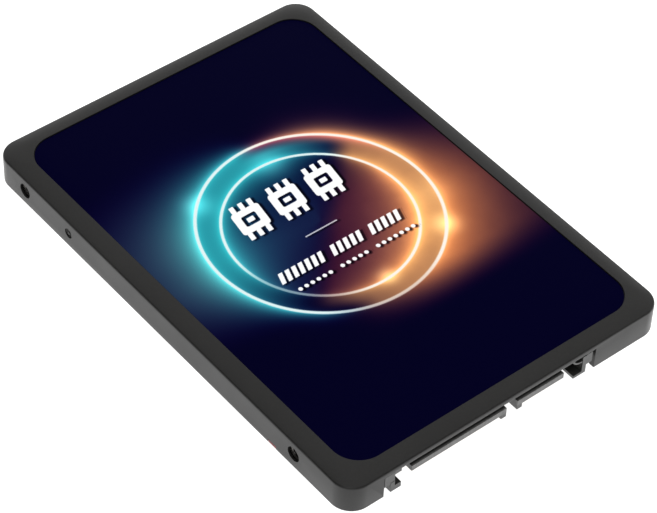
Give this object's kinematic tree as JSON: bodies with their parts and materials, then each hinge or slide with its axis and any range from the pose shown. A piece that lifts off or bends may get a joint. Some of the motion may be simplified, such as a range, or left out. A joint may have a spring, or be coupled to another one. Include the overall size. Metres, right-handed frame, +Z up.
{
  "type": "solid state drive",
  "caption": "Flat rectangular drive case with a rounded top edge, a recessed printed label and an edge plug; the top shell lifts off the board and its chips.",
  "frame": {"origin": "centre of the underside of the case", "axes": "+Z up to the printed label, +Y along the length, the plug at the -Y end"},
  "size_m": [0.0698, 0.1002, 0.007],
  "materials": {
    "case_plastic": "fine matte grain",
    "printed_label": "semi gloss printed film",
    "plain_label": "plain matte film",
    "seal_film": "thin red film",
    "plug_plastic": "glass filled plastic, satin",
    "contact_gold": "gold plated",
    "tinned_metal": "tin plated",
    "board_laminate": "solder mask",
    "chip_epoxy": "moulded epoxy",
    "component_body": "moulded ferrite or tantalum",
    "metal_can": "satin can",
    "heat_pad": "soft silicone",
    "screw_steel": "nickel plated",
    "nut_metal": "nickel plated"
  },
  "bodies": {
    "base": {"board_screw_1": "screw_steel", "board_screw_2": "screw_steel", "board_screw_3": "screw_steel", "board_screw_4": "screw_steel", "bottom_cover": "case_plastic", "bottom_label": "plain_label", "bulk_capacitor_1": "component_body", "bulk_capacitor_2": "component_body", "bulk_capacitor_3": "component_body", "bulk_capacitor_4": "component_body", "circuit_board": "board_laminate", "connector_housing": "plug_plastic", "controller_chip": "chip_epoxy", "crystal": "metal_can", "dram_chip": "chip_epoxy", "flash_chip_1": "chip_epoxy", "flash_chip_2": "chip_epoxy", "flash_chip_3": "chip_epoxy", "flash_chip_4": "chip_epoxy", "hold_down_1": "tinned_metal", "hold_down_2": "tinned_metal", "inductor_1": "component_body", "inductor_2": "component_body", "power_chip": "chip_epoxy", "power_contact_1": "contact_gold", "power_contact_10": "contact_gold", "power_contact_11": "contact_gold", "power_contact_12": "contact_gold", "power_contact_13": "contact_gold", "power_contact_14": "contact_gold", "power_contact_15": "contact_gold", "power_contact_2": "contact_gold", "power_contact_3": "contact_gold", "power_contact_4": "contact_gold", "power_contact_5": "contact_gold", "power_contact_6": "contact_gold", "power_contact_7": "contact_gold", "power_contact_8": "contact_gold", "power_contact_9": "contact_gold", "seal_sticker": "seal_film", "signal_contact_1": "contact_gold", "signal_contact_2": "contact_gold", "signal_contact_3": "contact_gold", "signal_contact_4": "contact_gold", "signal_contact_5": "contact_gold", "signal_contact_6": "contact_gold", "signal_contact_7": "contact_gold"},
    "lid": {"top_shell": "case_plastic", "top_label": "printed_label", "controller_pad": "heat_pad", "flash_pad": "heat_pad", "mount_nut_1": "nut_metal", "mount_nut_2": "nut_metal", "mount_nut_3": "nut_metal", "mount_nut_4": "nut_metal"}
  },
  "joints": [
    {"name": "top_shell_lift", "type": "slide", "parent": "base", "child": "lid", "axis": [0, 0, 1], "range_m": [0, 0.025]}
  ]
}
